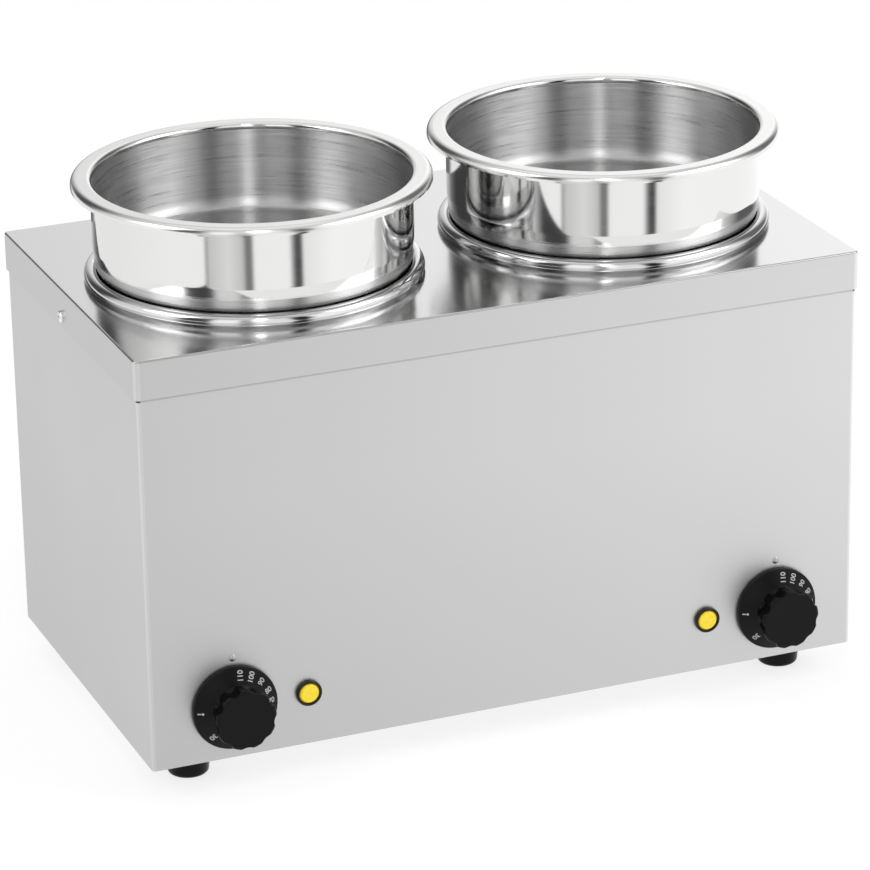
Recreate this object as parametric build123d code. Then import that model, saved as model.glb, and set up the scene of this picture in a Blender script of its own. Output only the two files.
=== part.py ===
from build123d import *
import os
from math import cos, pi, radians, sin, sqrt, tan

# Two-pot bain marie: a sheet-metal casing on rubber feet, two water wells with
# rolled beads, a lift-out pot in each, and a thermostat knob and pilot lamp for each.
# Millimetres, +Z up, front towards -Y, origin at the bottom centre of the whole object.

# Casing
body_depth = 276.0
body_height = 280.0
sheet = 1.0
skirt_height = 26.0
cover_gap = 0.25
corner_radius = 3.0
cover_edge_radius = 1.4
flange_width = 15.0
panel_gap = 0.5

# Wells
well_spacing = 248.0
well_side_margin = 126.0
well_from_front = 129.0
well_depth = 150.0
well_corner_radius = 15.0
bead_mouth_radius = 101.0
bead_width = 10.0
bead_height = 8.5
well_hole_gap = 0.3

# Pots
pot_depth = 66.2
pot_wall_radius = 104.6
pot_sheet = 1.0
pot_base_thickness = 7.0
pot_base_corner = 12.0
pot_inner_corner = 10.0
pot_rim_radius = 117.2
pot_rim_drop = 5.5
pot_lip_radius = 4.5
pot_roll_radius = 2.0
pot_seat_gap = 0.3

# Knobs
knob_inset = 57.5
control_height = 36.0
knob_reach = 24.0
knob_panel_gap = 0.8
knob_skirt_radius = 28.6
knob_skirt_edge = 2.7
knob_skirt_rounding = 0.8
knob_cone_height = 5.0
knob_neck_radius = 17.5
knob_tip_radius = 21.2
knob_tip_rounding = 2.0
knob_lobes = 9
knob_flute_radius = 5.0
knob_flute_depth = 2.4
knob_flute_rise = 1.0
knob_cavity_radius = 25.5
knob_cavity_depth = 3.0
knob_hub_radius = 7.5
knob_wall = 3.0
knob_face = 2.5
knob_bore_gap = 0.02

# Thermostats and their shafts
shaft_radius = 3.0
shaft_flat = 1.6
shaft_front = 18.0
shaft_flat_length = 12.0
shaft_tail = 14.0
shaft_gap = 0.05
shaft_end_gap = 1.0
bush_radius = 5.0
bush_front = 1.5
bush_hole_gap = 0.3
thermostat_width = 40.0
thermostat_height = 32.0
thermostat_body = 30.0
thermostat_rounding = 2.0
thermostat_plate_width = 46.0
thermostat_plate_height = 34.0
thermostat_screw_spacing = 34.0
thermostat_tab_offset = 10.0
thermostat_tab_drop = 6.0
capillary_port_rise = 8.0
bulb_radius = 3.0
bulb_length = 80.0
bulb_gap = 0.1
bulb_pocket_wall = 1.0
bulb_offset = 30.0
capillary_radius = 1.0
capillary_exit = 7.0
capillary_bend = 5.0
capillary_drop = 42.0

# Pilot lamps
lamp_inset = 108.3
lamp_bezel_radius = 8.75
lamp_bezel_reach = 3.0
lamp_bezel_recess = 1.0
lamp_bezel_lip = 0.4
lamp_bezel_rounding = 0.8
lamp_lip_rounding = 0.3
lamp_barrel_rounding = 1.0
lamp_barrel_radius = 7.4
lamp_barrel_length = 24.0
lamp_lens_radius = 6.7
lamp_lens_depth = 12.0
lamp_lens_dome = 1.0
lamp_lens_bevel = 1.0
lamp_lens_rounding = 1.5
lamp_hole_gap = 0.15
lamp_nut_flats = 17.0
lamp_nut_height = 4.0
lamp_tab_offset = 3.2

# Heating elements, clamps and overheat cut-outs
element_ring_radius = 65.0
element_tube_radius = 4.25
element_gap_half_angle = 25.0
element_bend = 12.0
element_leg = 34.0
element_seat_gap = 0.1
element_bead_length = 6.0
element_bead_radius = 3.2
element_pin_radius = 2.0
element_pin_length = 12.0
clamp_bar_length = 150.0
clamp_bar_width = 25.0
clamp_bar_thickness = 2.0
clamp_stud_radius = 3.0
clamp_stud_length = 20.0
cutout_offset = 32.0
cutout_radius = 8.0
cutout_gap = 0.1

# Tabs and leads
tab_width = 6.3
tab_thickness = 0.8
tab_length = 8.0
tab_root = 1.0
lead_radius = 1.4
lead_bend = 7.0
lead_first_level = 6.0
lead_level_step = 4.5

# Feet and fasteners
foot_height = 22.0
foot_inset_side = 37.0
foot_inset_front = 38.0
foot_top_radius = 15.5
foot_bottom_radius = 13.5
foot_edge_rounding = 3.0
foot_recess_radius = 6.0
foot_recess_depth = 10.0
m4_radius = 2.0
m4_head_radius = 3.9
m4_head_height = 2.4
m4_nut_flats = 7.0
m4_nut_height = 3.2
m5_radius = 2.5
m5_head_radius = 4.75
m5_head_height = 3.2
m5_nut_flats = 8.0
m5_nut_height = 4.0
m6_nut_flats = 10.0
m6_nut_height = 5.0
hole_gap = 0.15
thread_gap = 0.05
head_rounding = 1.2
screw_slot_share = 0.6
cover_screw_drop = 18.5
cover_screw_from_front = 148.0
side_screw_length = 10.0
panel_screw_length = 8.0
foot_screw_tail = 2.0
panel_screw_rows = 3
panel_screw_edge = 32.0
base_screw_front_spacing = 300.0
base_screw_side_spacing = 150.0

# Vents
vent_slot_width = 4.0
vent_slot_length = 42.0
vent_slot_pitch = 10.0
rear_vent_slots = 8
rear_slot_length = 84.0
rear_vent_drop = 62.0
base_vent_slots = 9

# Mains entry
gland_inset = 100.0
gland_rise = 40.0
gland_bore_radius = 4.5
gland_thread_radius = 8.0
gland_hole_gap = 0.2
gland_hex_flats = 22.0
gland_hex_height = 5.0
gland_dome_radius = 10.8
gland_dome_length = 15.0
gland_dome_rounding = 5.0
gland_mouth_rounding = 1.0
gland_crown = 3.0
gland_land = 1.0
gland_seal_gap = 0.1
gland_locknut_height = 5.0
gland_inside_length = 9.0
gland_seal_radius = 6.0
block_body_width = 36.0
block_lug_width = 9.0
block_lug_height = 5.0
block_depth = 24.0
block_height = 26.0
block_screw_radius = 3.0
block_screw_depth = 6.0
block_from_rear = 68.0
block_pole_pitch = 12.0
block_lead_spread = 1.8
earth_stud_offset = 44.0
earth_stud_height = 16.0

# Planes and places that follow from the sizes above
body_width = well_spacing + 2 * well_side_margin
gland_x = body_width / 2 - gland_inset
gland_reach = gland_hex_height + gland_dome_length - sheet - cover_gap
front_y = -(knob_reach + body_depth + gland_reach) / 2 + knob_reach
rear_y = front_y + body_depth
top_z = foot_height + body_height
skirt_z = top_z - skirt_height
plate_z = top_z - sheet
control_z = foot_height + control_height
well_y = front_y + well_from_front
shell_side = body_width / 2 - sheet - cover_gap
panel_y = front_y + sheet + cover_gap
panel_back_y = panel_y + sheet
rear_panel_back_y = rear_y - sheet - cover_gap
rear_panel_y = rear_panel_back_y - sheet
shell_back_y = rear_panel_y
rear_panel_side = shell_side - corner_radius
base_z = foot_height + sheet
base_top_z = base_z + sheet
bead_radius = bead_width / 2
bead_outer_radius = bead_mouth_radius + bead_width
well_floor_z = top_z - well_depth - sheet

# The pot hangs in the bead: the rounded corner of its base meets the round of the bead
bead_centre_radius = bead_mouth_radius + bead_radius
bead_centre_z = top_z + bead_height - bead_radius
pot_corner_place = pot_wall_radius - pot_base_corner
seat_reach = bead_radius + pot_base_corner + pot_seat_gap
seat_across = bead_centre_radius - pot_corner_place
pot_z = bead_centre_z + sqrt(seat_reach**2 - seat_across**2) - pot_base_corner

# Under the wells
element_z = well_floor_z - element_seat_gap - element_tube_radius
clamp_top_z = element_z - element_tube_radius - element_seat_gap
clamp_z = clamp_top_z - clamp_bar_thickness
bulb_pocket_radius = bulb_radius + bulb_gap + bulb_pocket_wall
bulb_z = well_floor_z - bulb_pocket_radius
bulb_y = well_y - bulb_offset
leg_angle = radians(element_gap_half_angle)
leg_across = element_ring_radius * sin(leg_angle) - element_bend * cos(leg_angle)
leg_y = well_y - element_ring_radius * cos(leg_angle) - element_bend * sin(leg_angle)
leg_end_z = element_z - element_bend - element_leg
pin_z = leg_end_z - element_bead_length - element_pin_length
thermostat_back_y = panel_back_y + sheet + thermostat_body
tab_z = control_z - thermostat_tab_drop
cutout_tab_z = (well_floor_z + clamp_top_z) / 2
lamp_back_y = panel_y + lamp_barrel_length
block_y = rear_panel_y - block_from_rear
gland_z = foot_height + gland_rise

SIDES = {"left": -1, "right": 1}


def box(x0, x1, y0, y1, z0, z1):
    """A block between two corners."""
    size = Box(x1 - x0, y1 - y0, z1 - z0)
    return Pos((x0 + x1) / 2, (y0 + y1) / 2, (z0 + z1) / 2) * size


def rod(start, direction, length, radius):
    """A round bar from a point along a direction."""
    plane = Plane(origin=start, z_dir=direction)
    return plane * Cylinder(radius, length, align=(Align.CENTER, Align.CENTER, Align.MIN))


def hexagon(start, direction, height, flats, bore):
    """A hexagon nut across its flats, with a round bore."""
    plane = Plane(origin=start, z_dir=direction)
    blank = extrude(RegularPolygon(flats / 2, 6, major_radius=False), height)
    return plane * (blank - Cylinder(bore, 4 * height))


def rounded_face(corners):
    """A closed outline in the XZ plane through (x, z, rounding) corners."""
    spots = []
    count = len(corners)
    for i in range(count):
        here = Vector(corners[i][0], 0, corners[i][1])
        before = Vector(corners[i - 1][0], 0, corners[i - 1][1]) - here
        after = Vector(corners[i + 1 - count][0], 0, corners[i + 1 - count][1]) - here
        radius = corners[i][2]
        if radius == 0:
            spots.append((here, None, here))
            continue
        half = radians(before.get_angle(after)) / 2
        inward = (before.normalized() + after.normalized()).normalized()
        centre = here + inward * (radius / sin(half))
        reach = radius / tan(half)
        spots.append((here + before.normalized() * reach, centre - inward * radius,
                      here + after.normalized() * reach))
    edges = []
    for i in range(count):
        enter, middle, leave = spots[i]
        previous = spots[i - 1][2]
        if enter != previous:
            edges.append(Line(previous, enter))
        if middle is not None:
            edges.append(ThreePointArc(enter, middle, leave))
    return Face(Wire([edge.edge() for edge in edges]))


def turned(corners):
    """A solid of revolution about Z from (radius, height, rounding) corners."""
    return revolve(rounded_face(corners), Axis.Z)


def screw(seat, direction, length, radius, head_radius, head_height):
    """A pan-head screw: its head stands on the seat, its shank runs along the direction."""
    back = Vector(*direction) * -1
    head = turned([(0, 0, 0), (head_radius, 0, 0), (head_radius, head_height, head_rounding),
                   (0, head_height, 0)])
    slot_length = 2 * head_radius * screw_slot_share
    slot = Box(slot_length, head_height / 4, head_height)
    slot += Box(head_height / 4, slot_length, head_height)
    head -= Pos(0, 0, head_height) * slot
    return Plane(origin=seat, z_dir=back) * head + rod(seat, direction, length, radius)


def group(solids):
    """Several separate solids kept as one piece of the list."""
    return Compound(children=[solid.solid() for solid in solids])


def tube(points, radius, bends):
    """A round wire or pipe along straight runs joined by arcs."""
    path = FilletPolyline(*points, radius=bends)
    start = path @ 0
    section = Plane(origin=start, z_dir=path % 0) * Circle(radius)
    return sweep(section, path=path)


def tab(x, y, z, direction):
    """A flat push-on terminal pointing along Y."""
    y_end = y + direction * tab_length
    return box(x - tab_width / 2, x + tab_width / 2, min(y, y_end), max(y, y_end),
               z - tab_thickness / 2, z + tab_thickness / 2)


def slots(count, across_x, length, width, pitch, centre, plane_z_dir):
    """A row of rounded slots as cutting solids, each along its length."""
    cutters = []
    for i in range(count):
        shift = (i - (count - 1) / 2) * pitch
        place = Vector(*centre) + Vector(*across_x) * shift
        plane = Plane(origin=place, x_dir=Vector(*across_x).cross(Vector(*plane_z_dir)),
                      z_dir=plane_z_dir)
        cutters.append(plane * extrude(SlotOverall(length, width), 4 * sheet, both=True))
    return cutters


# Screw places
cover_screw_y = front_y + cover_screw_from_front
cover_screw_z = top_z - cover_screw_drop
side_screw_ys = [well_y - base_screw_side_spacing / 2, well_y + base_screw_side_spacing / 2]
flange_mid = flange_width / 2
base_screw_places = [(x, panel_y + flange_mid) for x in
                     (-base_screw_front_spacing / 2, base_screw_front_spacing / 2)]
base_screw_places += [(x, rear_panel_y - flange_mid) for x in
                      (-base_screw_front_spacing / 2, base_screw_front_spacing / 2)]
base_screw_places += [(side * (shell_side - flange_mid), y) for side in (-1, 1)
                      for y in side_screw_ys]
panel_screw_low = foot_height + panel_screw_edge
panel_screw_high = skirt_z - panel_screw_edge
panel_screw_places = [(side * (shell_side - flange_mid),
                       panel_screw_low + i * (panel_screw_high - panel_screw_low)
                       / (panel_screw_rows - 1))
                      for side in (-1, 1) for i in range(panel_screw_rows)]
foot_places = {
    "front_left": (-body_width / 2 + foot_inset_side, front_y + foot_inset_front),
    "front_right": (body_width / 2 - foot_inset_side, front_y + foot_inset_front),
    "rear_left": (-body_width / 2 + foot_inset_side, rear_y - foot_inset_front),
    "rear_right": (body_width / 2 - foot_inset_side, rear_y - foot_inset_front),
}
block_screw_across = block_body_width / 2 + block_lug_width / 2


def knob_x(side):
    """The knob's place across the front."""
    return side * (body_width / 2 - knob_inset)


def lamp_x(side):
    """The lamp's place across the front."""
    return side * (body_width / 2 - lamp_inset)


def well_x(side):
    """The well's place across the top."""
    return side * well_spacing / 2


def top_cover():
    """Folded tray with a skirt all round and a round hole for each well."""
    tray = box(-body_width / 2, body_width / 2, front_y, rear_y, skirt_z, top_z)
    tray = fillet(tray.edges().filter_by(Axis.Z), corner_radius)
    tray = fillet(tray.faces().sort_by(Axis.Z)[-1].edges(), cover_edge_radius)
    inside = box(-body_width / 2 + sheet, body_width / 2 - sheet, front_y + sheet,
                 rear_y - sheet, skirt_z - sheet, plate_z)
    tray -= fillet(inside.edges().filter_by(Axis.Z), corner_radius - sheet)
    hole_radius = bead_mouth_radius + sheet + well_hole_gap
    for side in (-1, 1):
        tray -= rod((well_x(side), well_y, plate_z - sheet), (0, 0, 1), 3 * sheet, hole_radius)
        tray -= rod((side * (shell_side - sheet), cover_screw_y, cover_screw_z), (side, 0, 0),
                    5 * sheet, m4_radius + hole_gap)
    return tray


def body_shell():
    """One sheet folded round the front and sides, with flanges at the rear and below."""
    radius = corner_radius - sheet / 2
    shell = box(-shell_side, shell_side, panel_y, shell_back_y, foot_height, plate_z)
    shell = fillet(shell.edges().filter_by(Axis.Z), radius)
    inside = box(-shell_side + sheet, shell_side - sheet, panel_back_y, shell_back_y - sheet,
                 base_z, plate_z + sheet)
    shell -= fillet(inside.edges().filter_by(Axis.Z), radius - sheet)
    inner = shell_side - flange_width
    shell -= box(-inner, inner, panel_y + flange_width, shell_back_y + sheet,
                 foot_height - sheet, base_z + sheet)
    shell -= box(-inner, inner, shell_back_y - 2 * sheet, shell_back_y + sheet,
                 foot_height - sheet, plate_z + sheet)
    for side in (-1, 1):
        shell -= rod((knob_x(side), panel_y - sheet, control_z), (0, 1, 0), 4 * sheet,
                     bush_radius + bush_hole_gap)
        for shift in (-1, 1):
            place = knob_x(side) + shift * thermostat_screw_spacing / 2
            shell -= rod((place, panel_y - sheet, control_z), (0, 1, 0), 4 * sheet,
                         m4_radius + hole_gap)
        shell -= rod((lamp_x(side), panel_y - sheet, control_z), (0, 1, 0), 4 * sheet,
                     lamp_barrel_radius + lamp_hole_gap)
        shell -= rod((side * (shell_side - 2 * sheet), cover_screw_y, cover_screw_z),
                     (side, 0, 0), 5 * sheet, m4_radius + hole_gap)
    for x, y in base_screw_places:
        shell -= rod((x, y, foot_height - sheet), (0, 0, 1), 3 * sheet, m4_radius + hole_gap)
    for x, z in panel_screw_places:
        shell -= rod((x, shell_back_y - 2 * sheet, z), (0, 1, 0), 4 * sheet,
                     m4_radius + hole_gap)
    return shell


def rear_panel():
    """Flat rear sheet with a foot flange, two blocks of vent slots and the gland hole."""
    panel = box(-rear_panel_side, rear_panel_side, rear_panel_y, rear_panel_back_y,
                foot_height, plate_z)
    inner = shell_side - flange_width - panel_gap
    panel += box(-inner, inner, rear_panel_y - flange_width, rear_panel_y, foot_height, base_z)
    for side in (-1, 1):
        centre = (well_x(side), rear_panel_y, skirt_z - rear_vent_drop)
        for cutter in slots(rear_vent_slots, (0, 0, 1), rear_slot_length, vent_slot_width,
                            vent_slot_pitch, centre, (0, 1, 0)):
            panel -= cutter
    panel -= rod((gland_x, rear_panel_y - sheet, gland_z), (0, 1, 0), 4 * sheet,
                 gland_thread_radius + gland_hole_gap)
    for x, z in panel_screw_places:
        panel -= rod((x, rear_panel_y - sheet, z), (0, 1, 0), 4 * sheet, m4_radius + hole_gap)
    for x, y in base_screw_places:
        panel -= rod((x, y, foot_height - sheet), (0, 0, 1), 3 * sheet, m4_radius + hole_gap)
    return panel


def base_plate():
    """Flat floor of the casing, with vent slots under each well."""
    inner = shell_side - sheet - panel_gap
    front = panel_back_y + panel_gap
    rear = shell_back_y - sheet - panel_gap
    plate = box(-inner, inner, front, rear, base_z, base_top_z)
    for side in (-1, 1):
        for cutter in slots(base_vent_slots, (1, 0, 0), vent_slot_length, vent_slot_width,
                            vent_slot_pitch, (well_x(side), well_y, base_z), (0, 0, 1)):
            plate -= cutter
    for x, y in base_screw_places:
        plate -= rod((x, y, base_z - sheet), (0, 0, 1), 3 * sheet, m4_radius + thread_gap)
    for x, y in foot_places.values():
        plate -= rod((x, y, base_z - sheet), (0, 0, 1), 3 * sheet, m5_radius + hole_gap)
    for shift in (-1, 1):
        plate -= rod((gland_x + shift * block_screw_across, block_y, base_z - sheet),
                     (0, 0, 1), 3 * sheet, m4_radius + thread_gap)
    plate -= rod((gland_x + earth_stud_offset, block_y, base_z - sheet), (0, 0, 1),
                 3 * sheet, m5_radius + thread_gap)
    return plate


def well(side):
    """Drawn water tank whose rolled bead stands on the cover."""
    mouth = bead_mouth_radius
    outer = bead_outer_radius
    return Pos(well_x(side), well_y, top_z) * turned([
        (outer, 0, 0),
        (outer, bead_height, bead_radius),
        (mouth, bead_height, bead_radius),
        (mouth, -well_depth, well_corner_radius),
        (0, -well_depth, 0),
        (0, -well_depth - sheet, 0),
        (mouth + sheet, -well_depth - sheet, well_corner_radius + sheet),
        (mouth + sheet, bead_height - sheet, bead_radius - sheet),
        (outer - sheet, bead_height - sheet, bead_radius - sheet),
        (outer - sheet, 0, 0),
    ])


def pot(side):
    """Round pan with a thick flat base and a rim rolled out and down."""
    inner = pot_wall_radius - pot_sheet
    under = pot_depth - pot_sheet
    lip = pot_depth - pot_rim_drop
    return Pos(well_x(side), well_y, pot_z) * turned([
        (0, 0, 0),
        (pot_wall_radius, 0, pot_base_corner),
        (pot_wall_radius, under, pot_roll_radius),
        (pot_rim_radius - pot_sheet, under, pot_lip_radius - pot_sheet),
        (pot_rim_radius - pot_sheet, lip, 0),
        (pot_rim_radius, lip, 0),
        (pot_rim_radius, pot_depth, pot_lip_radius),
        (inner, pot_depth, pot_roll_radius + pot_sheet),
        (inner, pot_base_thickness, pot_inner_corner),
        (0, pot_base_thickness, 0),
    ])


def facing_front(side, solid, x_of):
    """Turn a solid built along +Z to face the front, with height 0 at the panel's face."""
    return Pos(x_of(side), panel_y, control_z) * Rot(90, 0, 0) * solid


def knob(side):
    """Moulded knob: fluted grip on a coned skirt, hollow behind, with a flatted bore."""
    reach = knob_reach + panel_y - front_y
    skirt = knob_panel_gap + knob_skirt_edge
    neck = skirt + knob_cone_height
    body = turned([
        (0, knob_panel_gap, 0),
        (knob_skirt_radius, knob_panel_gap, 0),
        (knob_skirt_radius, skirt, knob_skirt_rounding),
        (knob_neck_radius, neck, 0),
        (knob_tip_radius, reach, knob_tip_rounding),
        (0, reach, 0),
    ])
    flute_place = knob_neck_radius - knob_flute_depth + knob_flute_radius
    flare = (knob_tip_radius - knob_neck_radius) / (reach - neck)
    for i in range(knob_lobes):
        angle = 2 * pi * (i + 0.5) / knob_lobes
        body -= rod((flute_place * sin(angle), flute_place * cos(angle), neck + knob_flute_rise),
                    (flare * sin(angle), flare * cos(angle), 1), reach, knob_flute_radius)
    body -= rod((0, 0, 0), (0, 0, 1), knob_panel_gap + knob_cavity_depth, knob_cavity_radius)
    hollow_outer = knob_neck_radius - knob_flute_depth - knob_wall
    hollow = rod((0, 0, 0), (0, 0, 1), reach - knob_face, hollow_outer)
    hollow -= rod((0, 0, 0), (0, 0, 1), reach, knob_hub_radius)
    body -= hollow
    bore = rod((0, 0, 0), (0, 0, 1), shaft_front + knob_bore_gap, shaft_radius + knob_bore_gap)
    flat = box(-2 * shaft_radius, 2 * shaft_radius, shaft_flat + knob_bore_gap, 2 * shaft_radius,
               shaft_front - shaft_flat_length, shaft_front + shaft_end_gap)
    body -= bore - flat
    return facing_front(side, body, knob_x)


def thermostat_shaft(side):
    """Turning shaft with a flat for the knob."""
    length = shaft_front + shaft_tail
    shaft = rod((0, 0, -shaft_tail), (0, 0, 1), length, shaft_radius)
    shaft -= box(-2 * shaft_radius, 2 * shaft_radius, shaft_flat, 2 * shaft_radius,
                 shaft_front - shaft_flat_length, shaft_front + shaft_end_gap)
    return facing_front(side, shaft, knob_x)


def thermostat(side):
    """Capillary thermostat: mounting plate, bush, switch body and two tabs."""
    x = knob_x(side)
    z = control_z
    plate_back = panel_back_y + sheet
    body = box(x - thermostat_plate_width / 2, x + thermostat_plate_width / 2, panel_back_y,
               plate_back, z - thermostat_plate_height / 2, z + thermostat_plate_height / 2)
    block = box(x - thermostat_width / 2, x + thermostat_width / 2, plate_back,
                thermostat_back_y, z - thermostat_height / 2, z + thermostat_height / 2)
    body += fillet(block.edges().filter_by(Axis.Y), thermostat_rounding)
    for shift in (-1, 1):
        place = (x + shift * thermostat_screw_spacing / 2, panel_y, z)
        body -= rod(place, (0, 1, 0), panel_screw_length + 2 * sheet, m4_radius + thread_gap)
        body += tab(x + shift * thermostat_tab_offset, thermostat_back_y, tab_z, 1)
    body += rod((x, panel_y - bush_front, z), (0, 1, 0), bush_front + 3 * sheet, bush_radius)
    body -= rod((x, panel_y - 2 * bush_front, z), (0, 1, 0),
                2 * bush_front + shaft_tail + shaft_end_gap, shaft_radius + shaft_gap)
    return body


def thermostat_screws():
    """Two screws for each thermostat, hidden behind its knob."""
    return group([screw((knob_x(side) + shift * thermostat_screw_spacing / 2, panel_y, control_z),
                        (0, 1, 0), panel_screw_length, m4_radius, m4_head_radius, m4_head_height)
                  for side in (-1, 1) for shift in (-1, 1)])


def bulb_and_capillary(side):
    """Sensor bulb in its pocket, brazed to the thin tube that runs to the thermostat."""
    x = well_x(side)
    start = (x - side * bulb_length / 2, bulb_y, bulb_z)
    end_x = x + side * bulb_length / 2
    out_x = end_x + side * capillary_exit
    port_z = control_z + capillary_port_rise
    bulb = rod(start, (side, 0, 0), bulb_length, bulb_radius)
    points = [(end_x, bulb_y, bulb_z), (out_x, bulb_y, bulb_z),
              (out_x, bulb_y, bulb_z - capillary_drop),
              (knob_x(side), thermostat_back_y + 4 * capillary_bend, port_z),
              (knob_x(side), thermostat_back_y, port_z)]
    return bulb + tube(points, capillary_radius, [capillary_bend, 2 * capillary_bend,
                                                  2 * capillary_bend])


def bulb_pockets():
    """A pocket tube under each well that holds the bulb against the floor."""
    pockets = []
    for side in (-1, 1):
        start = (well_x(side) - bulb_length / 2, bulb_y, bulb_z)
        pockets.append(rod(start, (1, 0, 0), bulb_length, bulb_pocket_radius)
                       - rod(start, (1, 0, 0), bulb_length, bulb_radius + bulb_gap))
    return group(pockets)


def heating_element(side):
    """Sheathed ring element with two legs, each ending in a ceramic bead and a pin."""
    ring = element_ring_radius
    opening = element_gap_half_angle
    start_angle = -90 + opening
    start = Vector(ring * sin(leg_angle), -ring * cos(leg_angle), 0)
    far = Vector(0, ring, 0)
    end = Vector(-start.X, start.Y, 0)
    quarter = element_bend * sin(pi / 4)
    rise = element_bend - element_bend * cos(pi / 4)

    def leg(point, heading):
        middle = point + heading * quarter - Vector(0, 0, rise)
        low = point + heading * element_bend - Vector(0, 0, element_bend)
        return middle, low, low - Vector(0, 0, element_leg)

    start_heading = Vector(sin(radians(start_angle)), -cos(radians(start_angle)), 0)
    end_heading = Vector(-start_heading.X, start_heading.Y, 0)
    start_middle, start_low, start_foot = leg(start, start_heading)
    end_middle, end_low, end_foot = leg(end, end_heading)
    path = Wire([
        Line(start_foot, start_low).edge(),
        ThreePointArc(start_low, start_middle, start).edge(),
        ThreePointArc(start, far, end).edge(),
        ThreePointArc(end, end_middle, end_low).edge(),
        Line(end_low, end_foot).edge(),
    ])
    section = Plane(origin=start_foot, z_dir=(0, 0, 1)) * Circle(element_tube_radius)
    element = sweep(section, path=path)
    for foot in (start_foot, end_foot):
        element += rod(foot, (0, 0, -1), element_bead_length, element_bead_radius)
        element += rod(foot - Vector(0, 0, element_bead_length), (0, 0, -1),
                       element_pin_length, element_pin_radius)
    return Pos(well_x(side), well_y, element_z) * element


def element_clamp(side):
    """Flat bar across the ring, drawn up by the stud."""
    x = well_x(side)
    bar = box(x - clamp_bar_length / 2, x + clamp_bar_length / 2, well_y - clamp_bar_width / 2,
              well_y + clamp_bar_width / 2, clamp_z, clamp_top_z)
    return bar - rod((x, well_y, clamp_z - sheet), (0, 0, 1), clamp_bar_thickness + 2 * sheet,
                     clamp_stud_radius + hole_gap)


def clamp_studs():
    """A stud welded to the middle of each well's floor."""
    return group([rod((well_x(side), well_y, well_floor_z), (0, 0, -1), clamp_stud_length,
                      clamp_stud_radius) for side in (-1, 1)])


def clamp_nuts():
    """A nut on each stud, under the clamp bar."""
    return group([hexagon((well_x(side), well_y, clamp_z), (0, 0, -1), m6_nut_height,
                          m6_nut_flats, clamp_stud_radius + thread_gap) for side in (-1, 1)])


def overheat_cutout(side):
    """Disc cut-out between the well's floor and the clamp bar, with two tabs."""
    x = well_x(side) + side * cutout_offset
    height = well_floor_z - clamp_top_z - cutout_gap
    disc = rod((x, well_y, clamp_top_z), (0, 0, 1), height, cutout_radius)
    for direction in (-1, 1):
        start = well_y + direction * (cutout_radius - tab_root)
        disc += tab(x, start, cutout_tab_z, direction)
        disc += tab(x, start + direction * tab_length / 2, cutout_tab_z, direction)
    return disc


def pilot_bezel(side):
    """Black lamp housing: a rim in front of the panel and a barrel with two tabs behind."""
    bezel = turned([
        (0, -lamp_barrel_length, 0),
        (lamp_barrel_radius, -lamp_barrel_length, lamp_barrel_rounding),
        (lamp_barrel_radius, 0, 0),
        (lamp_bezel_radius, 0, 0),
        (lamp_bezel_radius, lamp_bezel_reach, lamp_bezel_rounding),
        (lamp_lens_radius + lamp_bezel_lip, lamp_bezel_reach, lamp_lip_rounding),
        (lamp_lens_radius + lamp_bezel_lip, lamp_bezel_reach - lamp_bezel_recess, 0),
        (lamp_lens_radius, lamp_bezel_reach - lamp_bezel_recess, 0),
        (lamp_lens_radius, lamp_bezel_reach - lamp_lens_depth, 0),
        (0, lamp_bezel_reach - lamp_lens_depth, 0),
    ])
    housing = facing_front(side, bezel, lamp_x)
    for shift in (-1, 1):
        blade = box(lamp_x(side) + shift * lamp_tab_offset - tab_thickness / 2,
                    lamp_x(side) + shift * lamp_tab_offset + tab_thickness / 2,
                    lamp_back_y - tab_root, lamp_back_y + tab_length,
                    control_z - tab_width / 2, control_z + tab_width / 2)
        housing += blade
    return housing


def pilot_lens(side):
    """Yellow lens with a low domed face, seated in the housing."""
    seat = lamp_bezel_reach - lamp_lens_depth
    face = lamp_bezel_reach - lamp_bezel_recess
    lens = turned([
        (0, seat, 0),
        (lamp_lens_radius, seat, 0),
        (lamp_lens_radius, face, 0),
        (lamp_lens_radius - lamp_lens_bevel, face + lamp_lens_dome, lamp_lens_rounding),
        (0, face + lamp_lens_dome, 0),
    ])
    return facing_front(side, lens, lamp_x)


def pilot_lamp_nuts():
    """A plastic nut on each lamp barrel, behind the panel."""
    return group([hexagon((lamp_x(side), panel_back_y, control_z), (0, 1, 0), lamp_nut_height,
                          lamp_nut_flats, lamp_barrel_radius + thread_gap) for side in (-1, 1)])


def foot(place):
    """Tapered rubber foot with a recess for its screw."""
    height = base_z
    return Pos(*foot_places[place], 0) * turned([
        (foot_recess_radius, 0, 0),
        (foot_bottom_radius, 0, foot_edge_rounding),
        (foot_top_radius, height, 0),
        (m5_radius + hole_gap, height, 0),
        (m5_radius + hole_gap, foot_recess_depth, 0),
        (foot_recess_radius, foot_recess_depth, 0),
    ])


def foot_screws():
    """One screw up through each foot."""
    length = base_top_z + m5_nut_height + foot_screw_tail - foot_recess_depth
    return group([screw((x, y, foot_recess_depth), (0, 0, 1), length, m5_radius,
                        m5_head_radius, m5_head_height) for x, y in foot_places.values()])


def foot_nuts():
    """A nut for each foot screw, on the base plate."""
    return group([hexagon((x, y, base_top_z), (0, 0, 1), m5_nut_height, m5_nut_flats,
                          m5_radius + thread_gap) for x, y in foot_places.values()])


def cover_side_screws():
    """One pan-head screw in the skirt at each side."""
    return group([screw((side * body_width / 2, cover_screw_y, cover_screw_z), (-side, 0, 0),
                        side_screw_length, m4_radius, m4_head_radius, m4_head_height)
                  for side in (-1, 1)])


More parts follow.
